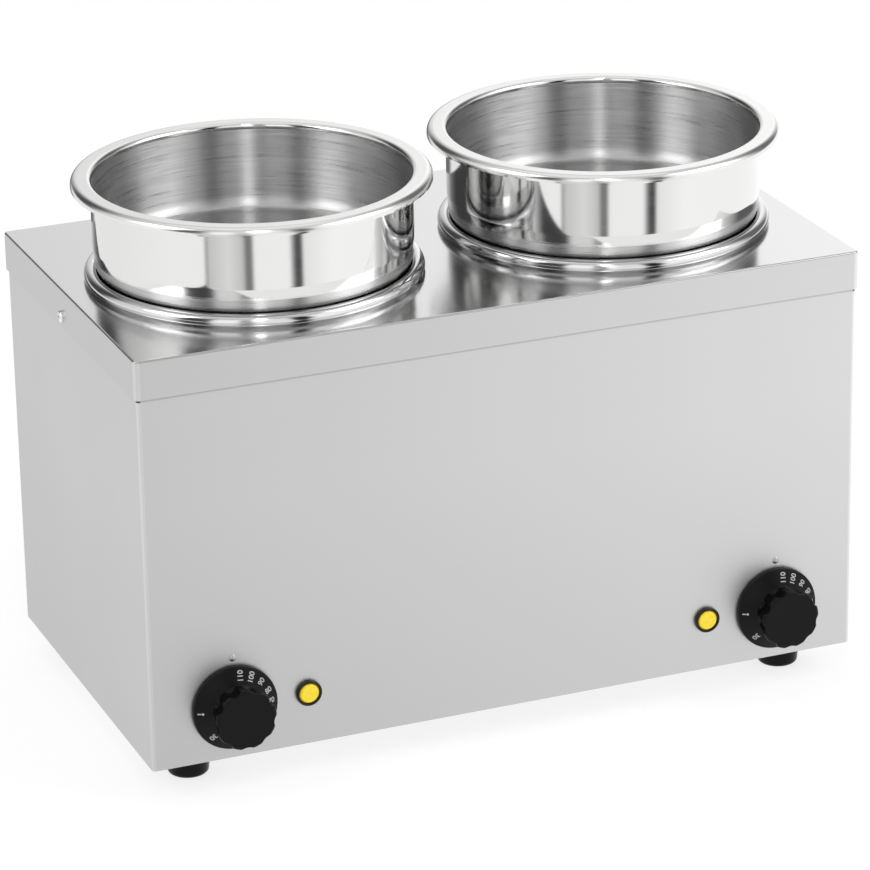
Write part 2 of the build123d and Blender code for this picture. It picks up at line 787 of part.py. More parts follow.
def cover_screw_nuts():
    """A nut for each skirt screw, inside the shell."""
    return group([hexagon((side * (shell_side - sheet), cover_screw_y, cover_screw_z),
                          (-side, 0, 0), m4_nut_height, m4_nut_flats, m4_radius + thread_gap)
                  for side in (-1, 1)])


def rear_panel_screws():
    """Screws through the rear panel into the shell's flanges."""
    return group([screw((x, rear_panel_back_y, z), (0, -1, 0), panel_screw_length, m4_radius,
                        m4_head_radius, m4_head_height)
                  for x, z in panel_screw_places])


def base_plate_screws():
    """Screws up through the flanges into the base plate."""
    return group([screw((x, y, foot_height), (0, 0, 1), panel_screw_length, m4_radius,
                        m4_head_radius, m4_head_height) for x, y in base_screw_places])


def from_gland(solid):
    """Place a solid built along +Z on the gland's axis, height 0 at the panel's rear face."""
    return Pos(gland_x, rear_panel_back_y, gland_z) * Rot(-90, 0, 0) * solid


def cable_gland_body():
    """Gland body: hexagon outside the panel, thread through it, open bore."""
    body = Pos(0, 0, -gland_inside_length - sheet) * Cylinder(
        gland_thread_radius, gland_inside_length + sheet,
        align=(Align.CENTER, Align.CENTER, Align.MIN))
    body += extrude(RegularPolygon(gland_hex_flats / 2, 6, major_radius=False), gland_hex_height)
    body += Cylinder(gland_thread_radius, gland_hex_height + gland_land,
                     align=(Align.CENTER, Align.CENTER, Align.MIN))
    body -= Cylinder(gland_bore_radius, 4 * gland_dome_length)
    return from_gland(body)


def cable_gland_nut():
    """Domed clamping nut of the gland."""
    foot = gland_hex_height
    top = foot + gland_dome_length
    dome = turned([
        (gland_bore_radius, top, gland_mouth_rounding),
        (gland_bore_radius, top - gland_crown, 0),
        (gland_seal_radius + gland_seal_gap, top - gland_crown, 0),
        (gland_seal_radius + gland_seal_gap, foot + gland_land, 0),
        (gland_thread_radius + thread_gap, foot + gland_land, 0),
        (gland_thread_radius + thread_gap, foot, 0),
        (gland_dome_radius, foot, 0),
        (gland_dome_radius, top, gland_dome_rounding),
    ])
    return from_gland(dome)


def cable_gland_seal():
    """Rubber ring inside the gland that grips the cord."""
    start = gland_hex_height + gland_land
    end = gland_hex_height + gland_dome_length - gland_crown
    ring = turned([
        (gland_bore_radius, start, 0),
        (gland_seal_radius, start, 0),
        (gland_seal_radius, end, 0),
        (gland_bore_radius, end, 0),
    ])
    return from_gland(ring)


def cable_gland_locknut():
    """Flat nut that holds the gland inside the rear panel."""
    return hexagon((gland_x, rear_panel_y, gland_z), (0, -1, 0), gland_locknut_height,
                   gland_hex_flats, gland_thread_radius + thread_gap)


def terminal_block():
    """Three-pole terminal block with a fixing lug at each end."""
    half = block_body_width / 2
    y0 = block_y - block_depth / 2
    y1 = block_y + block_depth / 2
    body = box(gland_x - half, gland_x + half, y0, y1, base_top_z,
               base_top_z + block_height)
    body += box(gland_x - half - block_lug_width, gland_x + half + block_lug_width,
                y0, y1, base_top_z, base_top_z + block_lug_height)
    for i in range(3):
        pole = gland_x + (i - 1) * block_pole_pitch
        body -= rod((pole, block_y, base_top_z + block_height - block_screw_depth), (0, 0, 1),
                    2 * block_screw_depth, block_screw_radius)
    for shift in (-1, 1):
        body -= rod((gland_x + shift * block_screw_across, block_y, base_z), (0, 0, 1),
                    4 * block_lug_height, m4_radius + hole_gap)
    return body


def terminal_block_screws():
    """Two screws that hold the terminal block down."""
    return group([screw((gland_x + shift * block_screw_across, block_y,
                         base_top_z + block_lug_height), (0, 0, -1),
                        panel_screw_length + sheet, m4_radius, m4_head_radius, m4_head_height)
                  for shift in (-1, 1)])


def earth_stud():
    """Earth screw up through the base plate."""
    return screw((gland_x + earth_stud_offset, block_y, base_z), (0, 0, 1),
                 earth_stud_height, m5_radius, m5_head_radius, m5_head_height)


def earth_nut():
    """Nut that fixes the earth screw to the base plate."""
    return hexagon((gland_x + earth_stud_offset, block_y, base_top_z), (0, 0, 1),
                   m5_nut_height, m5_nut_flats, m5_radius + thread_gap)


def lead(points):
    """One insulated lead along its route."""
    return tube(points, lead_radius, [lead_bend] * (len(points) - 2))


def wiring(side):
    """The leads of one circuit: supply, control, element return and lamp."""
    order = 0 if side < 0 else 2
    block_front = block_y - block_depth / 2
    live_z = base_top_z + lead_first_level + order * lead_level_step
    neutral_z = live_z + lead_level_step
    live_y = block_front - (4 - order) * lead_level_step - lead_bend
    neutral_y = live_y + lead_level_step
    spread = side * block_lead_spread
    live_x = gland_x - block_pole_pitch + spread
    neutral_x = gland_x + spread
    tab_out = knob_x(side) + side * thermostat_tab_offset
    tab_in = knob_x(side) - side * thermostat_tab_offset
    tab_end_y = thermostat_back_y + tab_length
    behind_y = tab_end_y + 3 * lead_bend
    outer_leg = well_x(side) + side * leg_across
    inner_leg = well_x(side) - side * leg_across
    cutout_x = well_x(side) + side * cutout_offset
    cutout_under = cutout_tab_z - tab_thickness / 2
    tab_reach = cutout_radius - tab_root + tab_length
    joint_z = pin_z + element_pin_length / 2
    turn_z = joint_z + 2 * lead_bend
    lamp_end_y = lamp_back_y + tab_length
    lamp_spread = lamp_tab_offset
    leads = [
        [(live_x, block_front, live_z), (live_x, live_y, live_z), (tab_out, live_y, live_z),
         (tab_out, behind_y, live_z), (tab_out, behind_y, tab_z), (tab_out, tab_end_y, tab_z)],
        [(tab_in, tab_end_y, tab_z), (tab_in, behind_y, tab_z),
         (cutout_x, well_y - tab_reach, joint_z - 2 * lead_bend),
         (cutout_x, well_y - tab_reach, cutout_under)],
        [(cutout_x, well_y + tab_reach, cutout_under), (cutout_x, well_y + tab_reach, turn_z),
         (outer_leg, leg_y + 3 * lead_bend, joint_z),
         (outer_leg, leg_y + element_pin_radius, joint_z)],
        [(inner_leg, leg_y, pin_z), (inner_leg, leg_y, neutral_z),
         (inner_leg, neutral_y, neutral_z), (neutral_x, neutral_y, neutral_z),
         (neutral_x, block_front, neutral_z)],
    ]
    for leg_x, shift in ((outer_leg, side), (inner_leg, -side)):
        start_x = lamp_x(side) + shift * lamp_spread
        leads.append([(start_x, lamp_end_y, control_z),
                      (start_x, lamp_end_y + lead_bend, control_z),
                      (leg_x, leg_y - 2 * lead_bend, joint_z),
                      (leg_x, leg_y - element_pin_radius, joint_z)])
    return group([lead(points) for points in leads])


def earth_lead():
    """Short lead from the block's earth pole to the earth screw."""
    start_x = gland_x + block_pole_pitch
    end_x = gland_x + earth_stud_offset
    block_front = block_y - block_depth / 2
    z = base_top_z + m5_nut_height + 2 * lead_radius
    turn_y = block_front - 1.5 * lead_bend
    return lead([(start_x, block_front, z), (start_x, turn_y, z), (end_x, turn_y, z),
                 (end_x, block_y - m5_radius, z)])


nodes = {
    "top_cover": top_cover(),
    "body_shell": body_shell(),
    "rear_panel": rear_panel(),
    "base_plate": base_plate(),
    "thermostat_screws": thermostat_screws(),
    "bulb_pockets": bulb_pockets(),
    "clamp_studs": clamp_studs(),
    "clamp_nuts": clamp_nuts(),
    "pilot_lamp_nuts": pilot_lamp_nuts(),
    "foot_screws": foot_screws(),
    "foot_nuts": foot_nuts(),
    "cover_side_screws": cover_side_screws(),
    "cover_screw_nuts": cover_screw_nuts(),
    "rear_panel_screws": rear_panel_screws(),
    "base_plate_screws": base_plate_screws(),
    "cable_gland_body": cable_gland_body(),
    "cable_gland_nut": cable_gland_nut(),
    "cable_gland_seal": cable_gland_seal(),
    "cable_gland_locknut": cable_gland_locknut(),
    "terminal_block": terminal_block(),
    "terminal_block_screws": terminal_block_screws(),
    "earth_stud": earth_stud(),
    "earth_nut": earth_nut(),
    "earth_lead": earth_lead(),
}
for name in foot_places:
    nodes[f"{name}_foot"] = foot(name)
for name, side in SIDES.items():
    nodes[f"{name}_well"] = well(side)
    nodes[f"{name}_pot"] = pot(side)
    nodes[f"{name}_knob"] = knob(side)
    nodes[f"{name}_thermostat_shaft"] = thermostat_shaft(side)
    nodes[f"{name}_thermostat"] = thermostat(side)
    nodes[f"{name}_bulb_and_capillary"] = bulb_and_capillary(side)
    nodes[f"{name}_heating_element"] = heating_element(side)
    nodes[f"{name}_element_clamp"] = element_clamp(side)
    nodes[f"{name}_overheat_cutout"] = overheat_cutout(side)
    nodes[f"{name}_pilot_bezel"] = pilot_bezel(side)
    nodes[f"{name}_pilot_lens"] = pilot_lens(side)
    nodes[f"{name}_wiring"] = wiring(side)

os.makedirs("parts", exist_ok=True)
for name, shape in nodes.items():
    export_step(shape, f"parts/{name}.step")
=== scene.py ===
import bpy
import numpy as np
from math import atan2, cos, pi, radians, sin, sqrt
from mathutils import Matrix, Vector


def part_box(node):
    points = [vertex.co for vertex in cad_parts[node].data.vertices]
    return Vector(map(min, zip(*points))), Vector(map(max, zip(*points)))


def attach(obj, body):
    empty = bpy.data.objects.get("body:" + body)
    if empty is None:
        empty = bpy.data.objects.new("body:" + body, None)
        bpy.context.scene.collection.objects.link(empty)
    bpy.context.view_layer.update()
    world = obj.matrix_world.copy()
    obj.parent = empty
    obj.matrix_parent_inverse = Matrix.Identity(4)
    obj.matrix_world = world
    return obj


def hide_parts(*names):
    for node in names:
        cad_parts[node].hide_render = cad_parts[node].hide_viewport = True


# Two-pot bain marie, dressed for the camera. Metres, +Z up, front towards -Y.
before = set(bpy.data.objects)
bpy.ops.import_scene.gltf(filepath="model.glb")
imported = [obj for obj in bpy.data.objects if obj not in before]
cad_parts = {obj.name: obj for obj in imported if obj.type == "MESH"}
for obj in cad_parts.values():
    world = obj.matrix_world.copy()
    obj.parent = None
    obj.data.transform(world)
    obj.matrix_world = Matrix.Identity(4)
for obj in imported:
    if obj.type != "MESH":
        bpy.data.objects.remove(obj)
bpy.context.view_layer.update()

# Camera: to the front left of the warmer and a little above it, far away behind a long
# lens, turned a degree about its own axis as the photographed picture is.
camera_data = bpy.data.cameras.new("camera")
camera_data.sensor_width = 36.0
camera_data.lens = 180.66
camera = bpy.data.objects.new("camera", camera_data)
camera.matrix_world = (
    Matrix.Translation((-1.0105, -2.5422, 1.2398))
    @ Matrix.Rotation(radians(-21.73), 4, "Z")
    @ Matrix.Rotation(radians(90 - 21.45), 4, "X")
    @ Matrix.Rotation(radians(-1.0), 4, "Z"))
bpy.context.scene.collection.objects.link(camera)
bpy.context.scene.camera = camera
bpy.context.scene.view_settings.view_transform = "Standard"

# Studio: a white paper floor in a white tent. The tent is a world seen only in gloss: its
# opening near the camera, a panel with dark edges and a stand show in the polished steel,
# and below the horizon it stands for the floor there.
floor_half = 12.0


def new_material(name):
    """A material with an empty node tree but for its output, and that tree."""
    material = bpy.data.materials.new(name)
    material.use_nodes = True
    tree = material.node_tree
    for node in list(tree.nodes):
        if node.type != "OUTPUT_MATERIAL":
            tree.nodes.remove(node)
    return material, tree


def node(tree, kind, sockets=None, **settings):
    """A node with its settings, and its sockets given a number or a link by name or place."""
    made = tree.nodes.new(kind)
    for key, value in settings.items():
        setattr(made, key, value)
    for key, value in (sockets or {}).items():
        if isinstance(value, bpy.types.NodeSocket):
            tree.links.new(value, made.inputs[key])
        else:
            made.inputs[key].default_value = value
    return made


def link_mesh(name, points, faces, material, smooth_angle=35):
    """A mesh object at the origin from arrays of points and faces, smooth below an angle."""
    mesh = bpy.data.meshes.new(name)
    mesh.from_pydata(points.tolist(), [], faces)
    mesh.materials.append(material)
    mesh.shade_smooth()
    mesh.set_sharp_from_angle(angle=radians(smooth_angle))
    piece = bpy.data.objects.new(name, mesh)
    bpy.context.scene.collection.objects.link(piece)
    return piece


paper, tree = new_material("paper_floor")
rays = node(tree, "ShaderNodeLightPath")
matt = node(tree, "ShaderNodeBsdfDiffuse", {"Color": (0.82, 0.82, 0.82, 1)})
faint = node(tree, "ShaderNodeBsdfDiffuse", {"Color": (0.3, 0.3, 0.3, 1)})
glow = node(tree, "ShaderNodeEmission", {"Color": (1, 1, 1, 1), "Strength": 0.76})
lit = node(tree, "ShaderNodeAddShader", {0: faint.outputs[0], 1: glow.outputs[0]})
seen = node(tree, "ShaderNodeMixShader",
            {0: rays.outputs["Is Camera Ray"], 1: matt.outputs[0], 2: lit.outputs[0]})
tree.links.new(seen.outputs[0], tree.nodes["Material Output"].inputs["Surface"])
corners = np.array([(-floor_half, -floor_half, 0.0), (floor_half, -floor_half, 0.0),
                    (floor_half, floor_half, 0.0), (-floor_half, floor_half, 0.0)])
floor = link_mesh("floor", corners, [(0, 1, 2, 3)], paper)
floor.visible_glossy = False

world = bpy.data.worlds.new("tent")
bpy.context.scene.world = world
world.use_nodes = True
tree = world.node_tree
tree.nodes.clear()
rays = node(tree, "ShaderNodeLightPath")
place = node(tree, "ShaderNodeTexCoord")
split = node(tree, "ShaderNodeSeparateXYZ", {0: place.outputs["Generated"]})
azimuth = node(tree, "ShaderNodeMath", {0: split.outputs["Y"], 1: split.outputs["X"]},
               operation="ARCTAN2")
camera_azimuth = -90 - 21.73
turn = node(tree, "ShaderNodeMath",
            {0: azimuth.outputs[0], 1: 1 / (2 * pi), 2: 0.5 - camera_azimuth / 360},
            operation="MULTIPLY_ADD")
turned_round = node(tree, "ShaderNodeMath", {0: turn.outputs[0], 1: 1.0, 2: 0.0},
                    operation="WRAP")


def tent_ramp(tones):
    """Grey tones of the tent against the angle round from the camera, -180 to 180 degrees."""
    made = node(tree, "ShaderNodeValToRGB", {0: turned_round.outputs[0]})
    for angle, tone in tones[1:-1]:
        stop = made.color_ramp.elements.new(angle / 360 + 0.5)
        stop.color = (tone, tone, tone, 1)
    made.color_ramp.elements[0].color = (tones[0][1],) * 3 + (1,)
    made.color_ramp.elements[-1].color = (tones[-1][1],) * 3 + (1,)
    return made.outputs[0]


low_tent = tent_ramp([(-180, 0.12), (-157, 0.15), (-148, 0.85), (-60, 0.98), (-33, 0.98),
                      (-31.8, 0.2), (-30, 0.62), (-16, 0.8), (-6, 0.62), (-3, 0.2),
                      (0.5, 0.22), (2.5, 0.98), (27, 1.0), (30, 0.3), (32, 0.08), (35.5, 0.08),
                      (38, 0.9), (60, 1.05), (180, 1.0)])
high_tent = tent_ramp([(-180, 0.95), (-175, 0.78), (-164, 0.68), (-150, 0.2), (-140, 0.06),
                       (-120, 0.06), (-105, 0.7), (-56, 1.1), (-47, 0.06), (-30, 0.06),
                       (-26, 1.1), (-10, 1.1), (-8, 0.4), (-1, 0.4), (1, 1.15), (7, 1.15),
                       (9, 0.9), (25, 0.9), (28, 0.0), (37, 0.0), (43, 1.1), (100, 0.95),
                       (120, 0.15), (145, 0.15), (165, 1.0), (172, 1.08), (180, 0.95)])


def band(low_edge, high_edge):
    """Rises from 0 to 1 as the upward part of the direction goes between two values."""
    return node(tree, "ShaderNodeMapRange", {0: split.outputs["Z"], 1: low_edge, 2: high_edge,
                                             3: 0.0, 4: 1.0}, interpolation_type="SMOOTHSTEP")


def blended(amount, first, second):
    """A colour between two, each a link or a colour."""
    mix = node(tree, "ShaderNodeMix", {0: amount.outputs[0]}, data_type="RGBA")
    for key, value in ((6, first), (7, second)):
        if isinstance(value, bpy.types.NodeSocket):
            tree.links.new(value, mix.inputs[key])
        else:
            mix.inputs[key].default_value = value
    return mix.outputs[2]


walls = blended(band(-0.08, 0.08), low_tent, high_tent)
above = blended(band(0.55, 0.8), walls, (0.6, 0.6, 0.6, 1))
tent = blended(band(-0.45, -0.40), (0.93, 0.93, 0.93, 1), above)
gloss_sky = node(tree, "ShaderNodeBackground", {"Color": tent, "Strength": 1.2})
white_sky = node(tree, "ShaderNodeBackground", {"Color": (1, 1, 1, 1), "Strength": 1.0})
light_sky = node(tree, "ShaderNodeBackground", {"Color": (1, 1, 1, 1), "Strength": 0.62})
not_gloss = node(tree, "ShaderNodeMixShader", {0: rays.outputs["Is Glossy Ray"],
                                               1: light_sky.outputs[0], 2: gloss_sky.outputs[0]})
background = node(tree, "ShaderNodeMixShader", {0: rays.outputs["Is Camera Ray"],
                                                1: not_gloss.outputs[0], 2: white_sky.outputs[0]})
out = node(tree, "ShaderNodeOutputWorld", {"Surface": background.outputs[0]})

aim_height = 0.2
softboxes = [("strip", (-0.78, -2.27, 2.6), (0.25, 1.8), 8),
             ("left", (-2.4, -0.13, 2.2), (1.4, 1.4), 16),
             ("right", (1.9, -1.2, 2.0), (1.6, 1.6), 20),
             ("top", (0.0, 0.3, 2.8), (2.2, 2.2), 5)]
for name, spot, size, watts in softboxes:
    lamp = bpy.data.lights.new(name, "AREA")
    lamp.shape = "RECTANGLE"
    lamp.size, lamp.size_y = size
    lamp.energy = watts
    light = bpy.data.objects.new(name, lamp)
    light.location = spot
    back = np.array(spot) - np.array((0.0, 0.0, aim_height))
    light.rotation_euler = (atan2(sqrt(back[0] ** 2 + back[1] ** 2), back[2]), 0,
                            atan2(back[0], -back[1]))
    bpy.context.scene.collection.objects.link(light)

# Casing: one stainless sheet folded round the front and sides, a rear panel with slots,
# and a base plate. The sheet is brushed along its length and keeps a soft satin sheen.
skirt_z = 0.276
corner_x = 0.2460
corner_y = -0.1316
corner_ease = 0.0008


def steel_grain(tree, tone, roughness, grain, stripe=0.012, wear=0.02, shine=0.006,
                painted_light=None):
    """The shader of steel whose roughness and bump follow a noise drawn out on one axis.

    roughness = base + stripe * noise(p * grain) + wear * noise(p * 9), tone likewise. The
    tone is also multiplied by a field of painted light and shade, where one is given.
    """
    spot = node(tree, "ShaderNodeTexCoord").outputs["Object"]
    drawn = node(tree, "ShaderNodeMapping", {"Vector": spot, "Scale": grain})
    fine = node(tree, "ShaderNodeTexNoise", {"Vector": drawn.outputs[0], "Scale": 1.0,
                                             "Detail": 3.0, "Roughness": 0.6})
    cloud = node(tree, "ShaderNodeTexNoise", {"Vector": spot, "Scale": 9.0, "Detail": 2.0})
    fine_rough = node(tree, "ShaderNodeMapRange",
                      {0: fine.outputs[0], 1: 0.3, 2: 0.7, 3: roughness - stripe,
                       4: roughness + stripe})
    cloud_rough = node(tree, "ShaderNodeMapRange",
                       {0: cloud.outputs[0], 1: 0.3, 2: 0.7, 3: -wear, 4: wear})
    rough = node(tree, "ShaderNodeMath", {0: fine_rough.outputs[0], 1: cloud_rough.outputs[0]},
                 operation="ADD")
    shade = node(tree, "ShaderNodeMapRange",
                 {0: fine.outputs[0], 1: 0.25, 2: 0.75, 3: tone * (1 - shine),
                  4: tone * (1 + shine)})
    bump = node(tree, "ShaderNodeBump", {"Height": fine.outputs[0], "Strength": 0.03,
                                         "Distance": 0.0002})
    steel = node(tree, "ShaderNodeBsdfPrincipled",
                 {"Base Color": shade.outputs[0], "Metallic": 1.0, "Roughness": rough.outputs[0],
                  "Normal": bump.outputs[0]})
    if painted_light is not None:
        painted_tone = node(tree, "ShaderNodeMath", {0: shade.outputs[0], 1: painted_light},
                       operation="MULTIPLY")
        tree.links.new(painted_tone.outputs[0], steel.inputs["Base Color"])
    return steel.outputs[0]


def ramp(tree, value, low, high, first, last):
    """Runs from first to last as a value goes from low to high, and stays there."""
    return node(tree, "ShaderNodeMapRange",
                {0: value, 1: low, 2: high, 3: first, 4: last}).outputs[0]


def product(tree, *values):
    """The product of several values."""
    result = values[0]
    for value in values[1:]:
        result = node(tree, "ShaderNodeMath", {0: result, 1: value},
                      operation="MULTIPLY").outputs[0]
    return result


def sheet_painted_light(tree, line_z=None):
    """Painted light and shade for the satin sheet: painted shade low down and to the left, and a
    painted highlight on the front corners.

    (1 + 0.35 x) * (z: 0.93 to 1.03) * (1.1 on a corner, a painted highlight) * (down to 0.66 in
    the 2 mm below line_z, a painted shadow where the skirt stands off, and nearly black there on
    a corner, painted shade in the gap)
    """
    spot = node(tree, "ShaderNodeTexCoord").outputs["Object"]
    part = node(tree, "ShaderNodeSeparateXYZ", {0: spot})
    across = node(tree, "ShaderNodeMath", {0: part.outputs["X"], 1: 0.35, 2: 1.0},
                  operation="MULTIPLY_ADD").outputs[0]
    rise = ramp(tree, part.outputs["Z"], 0.03, 0.2, 0.93, 1.03)
    reach = node(tree, "ShaderNodeMath", {0: part.outputs["X"]}, operation="ABSOLUTE")
    on_side = ramp(tree, reach.outputs[0], corner_x, corner_x + corner_ease, 0.0, 1.0)
    on_front = ramp(tree, part.outputs["Y"], corner_y - corner_ease, corner_y, 1.0, 0.0)
    corner = product(tree, on_side, on_front)
    # Painted shade towards the left and low down, and a painted highlight on the corners.
    field = product(tree, across, rise, ramp(tree, corner, 0.0, 1.0, 1.0, 1.1))
    if line_z is None:
        return field
    # Painted shadow under the skirt's edge, nearly black at a corner as painted shade in the gap.
    painted_skirt_shadow = ramp(tree, part.outputs["Z"], line_z - 0.0020, line_z - 0.0006, 1.0, 0.66)
    under = ramp(tree, part.outputs["Z"], line_z - 0.0020, line_z - 0.0014, 0.0, 1.0)
    painted_gap_shade = ramp(tree, product(tree, corner, under), 0.0, 1.0, 1.0, 0.1)
    return product(tree, field, painted_skirt_shadow, painted_gap_shade)


def brushed_steel(name, tone, roughness, grain, stripe=0.012, wear=0.02, shine=0.006):
    """A material of nothing but steel_grain."""
    material, tree = new_material(name)
    shader = steel_grain(tree, tone, roughness, grain, stripe, wear, shine)
    tree.links.new(shader, tree.nodes["Material Output"].inputs["Surface"])
    return material


def dress(name, material):
    """Give a node of the fixed model its finish."""
    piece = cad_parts[name]
    piece.data.materials.clear()
    piece.data.materials.append(material)


satin_sheet, tree = new_material("satin_sheet")
shader = steel_grain(tree, 0.62, 0.42, (12.0, 12.0, 900.0), painted_light=sheet_painted_light(tree, skirt_z))
tree.links.new(shader, tree.nodes["Material Output"].inputs["Surface"])
base_sheet = brushed_steel("base_sheet", 0.54, 0.45, (12.0, 900.0, 12.0))
dress("body_shell", satin_sheet)
dress("rear_panel", satin_sheet)
dress("base_plate", base_sheet)

# Top cover: a folded tray that hangs over the casing, its top buffed bright and its skirt
# left satin. The fold along the front is painted darker, a painted shade in place of its
# highlight, and ground welds close the corners.
cover_top = 0.302
fold_radius = 0.0014
fold_y = -0.1335
cover_steel, tree = new_material("cover_steel")
spot = node(tree, "ShaderNodeSeparateXYZ",
            {0: node(tree, "ShaderNodeTexCoord").outputs["Object"]})
# Painted shade on the front fold: its tone is taken down to 0.68 there.
folded = product(
    tree,
    ramp(tree, spot.outputs["Z"], cover_top - fold_radius, cover_top - 0.0011, 0.0, 1.0),
    ramp(tree, spot.outputs["Z"], cover_top - 0.00015, cover_top - 0.00003, 1.0, 0.0),
    ramp(tree, spot.outputs["Y"], fold_y - 0.001, fold_y, 1.0, 0.0))
painted_fold_shade = ramp(tree, folded, 0.0, 1.0, 1.0, 0.68)
buffed = steel_grain(tree, 0.66, 0.16, (700.0, 14.0, 14.0), 0.01, 0.015, painted_light=painted_fold_shade)
satin = steel_grain(tree, 0.60, 0.42, (12.0, 12.0, 900.0),
                    painted_light=product(tree, sheet_painted_light(tree), painted_fold_shade))
on_top = ramp(tree, spot.outputs["Z"], cover_top - 0.0008, cover_top - 0.0003, 0.0, 1.0)
both = node(tree, "ShaderNodeMixShader", {0: on_top, 1: satin, 2: buffed})
tree.links.new(both.outputs[0], tree.nodes["Material Output"].inputs["Surface"])
dress("top_cover", cover_steel)

# Wells: deep drawn tanks, spun over at the mouth into a round bead that stands on the
# cover and carries the pot.
well_spacing = 0.248
well_y = -0.006375
bead_mouth = 0.101
bead_outer = 0.111
bead_height = 0.0085
bead_round = 0.005
well_depth = 0.150
well_corner = 0.015
sheet = 0.001


def rounded_outline(corners, step=radians(5)):
    """Points along an outline of (radius, height, rounding) corners.

    A corner with rounding r is the arc c + r (cos t, sin t) that touches both of its runs;
    each straight run also gets points near its ends, so that it stays straight when smooth.
    """
    spots = np.array([corner[:2] for corner in corners], float)
    arcs = []
    for i, (x, z, r) in enumerate(corners):
        here = spots[i]
        if r == 0 or i in (0, len(corners) - 1):
            arcs.append(here[None])
            continue
        before = spots[i - 1] - here
        after = spots[i + 1] - here
        before = before / np.linalg.norm(before)
        after = after / np.linalg.norm(after)
        half = np.arccos(np.clip(before @ after, -1, 1)) / 2
        middle = (before + after) / np.linalg.norm(before + after)
        centre = here + middle * r / sin(half)
        first = here + before * r / np.tan(half) - centre
        last = here + after * r / np.tan(half) - centre
        t0 = atan2(first[1], first[0])
        sweep = (atan2(last[1], last[0]) - t0 + pi) % (2 * pi) - pi
        t = t0 + sweep * np.linspace(0, 1, max(3, int(abs(sweep) / step) + 2))
        arcs.append(centre + r * np.stack([np.cos(t), np.sin(t)], 1))
    outline = [arcs[0]]
    for before, after in zip(arcs, arcs[1:]):
        run = np.array([0.03, 0.25, 0.5, 0.75, 0.97])[:, None]
        outline.append(before[-1] + (after[0] - before[-1]) * run)
        outline.append(after)
    return np.concatenate(outline)


def turned_surface(name, outline, centre, facing, material, count=224, reach=None):
    """A surface of revolution with its seam and poles closed, facing outwards.

    P(i, a) = centre + rho (u cos a + v sin a) + h_i w, with w the axis, u and v across it,
    rho = r_i, or reach(r_i, h_i, a) where the radius changes round the axis.
    """
    w = np.array(facing, float)
    u = np.array((1.0, 0, 0)) if abs(w[0]) < 0.5 else np.array((0, 1.0, 0))
    v = np.cross(w, u)
    a = np.linspace(0, 2 * pi, count, endpoint=False)
    r = np.repeat(outline[:, :1], count, 1)
    h = np.repeat(outline[:, 1:], count, 1)
    if reach is not None:
        r = reach(r, h, a[None])
    grid = (np.array(centre) + (r * np.cos(a))[..., None] * u + (r * np.sin(a))[..., None] * v
            + h[..., None] * w)
    rows = len(outline)
    index = np.arange(rows * count).reshape(rows, count)
    poles = np.flatnonzero(outline[:, 0] < 1e-7)
    index[poles] = index[poles][:, :1]
    beside = np.roll(index, -1, 1)
    quads = np.stack([index[:-1], beside[:-1], beside[1:], index[1:]], -1).reshape(-1, 4)
    points = grid.reshape(-1, 3)
    p0, p1, p2, p3 = (points[quads[:, k]] for k in range(4))
    volume = np.einsum("ij,ij->i", p0, np.cross(p1, p2) + np.cross(p2, p3)).sum()
    if volume < 0:
        quads = quads[:, ::-1]
    used, quads = np.unique(quads, return_inverse=True)
    quads = quads.reshape(-1, 4)
    faces = [tuple(dict.fromkeys(face)) for face in quads.tolist()]
    return link_mesh(name, points[used], faces, material)


